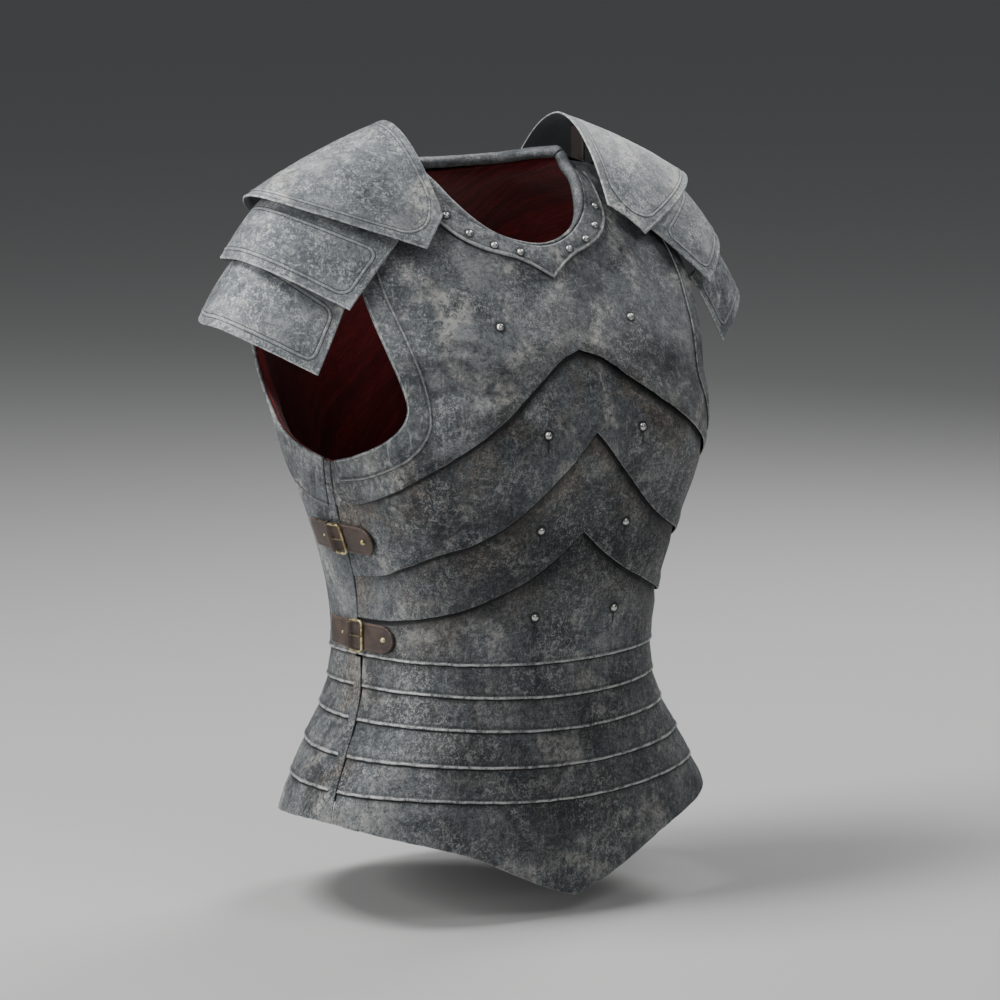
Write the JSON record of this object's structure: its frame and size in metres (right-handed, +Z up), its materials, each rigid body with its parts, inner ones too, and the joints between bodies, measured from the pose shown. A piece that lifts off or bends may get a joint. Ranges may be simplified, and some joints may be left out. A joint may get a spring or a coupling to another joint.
{
  "type": "steel breastplate",
  "caption": "Plate cuirass with lapped breast lames, a laminated flared skirt, a riveted collar band, side buckles and lamed pauldrons over a fabric lining.",
  "frame": {"origin": "between the shoulders on the centre line, at the level where the shoulder parts of the plates lie on the wearer", "axes": "+X towards the wearer's left, -Y towards the front of the chest, +Z up"},
  "size_m": [0.558, 0.3087, 0.6465],
  "materials": {
    "plate_steel": "aged blue-grey plate with pale scuffs, brown tints at the laps and bright worn edges",
    "rivet_steel": "bright domed heads with dark rings round them",
    "strap_leather": "dark brown strap leather, slightly glossy, worn at the edges",
    "buckle_brass": "dull aged brass with bright edges",
    "lining_cloth": "deep dark-red matt cloth"
  },
  "bodies": {
    "root": {"breast_upper": "plate_steel", "breast_lame_1": "plate_steel", "breast_lame_2": "plate_steel", "waist_plate": "plate_steel", "back_plate": "plate_steel", "skirt_front_1": "plate_steel", "skirt_front_2": "plate_steel", "skirt_front_3": "plate_steel", "skirt_front_4": "plate_steel", "skirt_front_5": "plate_steel", "skirt_back_1": "plate_steel", "skirt_back_2": "plate_steel", "skirt_back_3": "plate_steel", "skirt_back_4": "plate_steel", "skirt_back_5": "plate_steel", "skirt_strip_l": "plate_steel", "skirt_strip_r": "plate_steel", "lining_front": "lining_cloth", "lining_back": "lining_cloth", "armhole_band_front_l": "plate_steel", "armhole_band_front_r": "plate_steel", "armhole_band_back_l": "plate_steel", "armhole_band_back_r": "plate_steel", "collar_band": "plate_steel", "neck_rim_front": "plate_steel", "neck_rim_back": "plate_steel", "pauldron_upper_l": "plate_steel", "pauldron_upper_r": "plate_steel", "pauldron_middle_l": "plate_steel", "pauldron_middle_r": "plate_steel", "pauldron_lower_l": "plate_steel", "pauldron_lower_r": "plate_steel", "pauldron_leather_l": "strap_leather", "pauldron_leather_r": "strap_leather", "pauldron_tab_l": "strap_leather", "pauldron_tab_r": "strap_leather", "strap_front_upper_l": "strap_leather", "strap_front_upper_r": "strap_leather", "strap_back_upper_l": "strap_leather", "strap_back_upper_r": "strap_leather", "buckle_upper_l": "buckle_brass", "buckle_upper_r": "buckle_brass", "strap_front_lower_l": "strap_leather", "strap_front_lower_r": "strap_leather", "strap_back_lower_l": "strap_leather", "strap_back_lower_r": "strap_leather", "buckle_lower_l": "buckle_brass", "buckle_lower_r": "buckle_brass", "chest_rivet_1_l": "rivet_steel", "chest_rivet_1_r": "rivet_steel", "chest_rivet_2_l": "rivet_steel", "chest_rivet_2_r": "rivet_steel", "chest_rivet_3_l": "rivet_steel", "chest_rivet_3_r": "rivet_steel", "chest_rivet_4_l": "rivet_steel", "chest_rivet_4_r": "rivet_steel"}
  },
  "joints": []
}
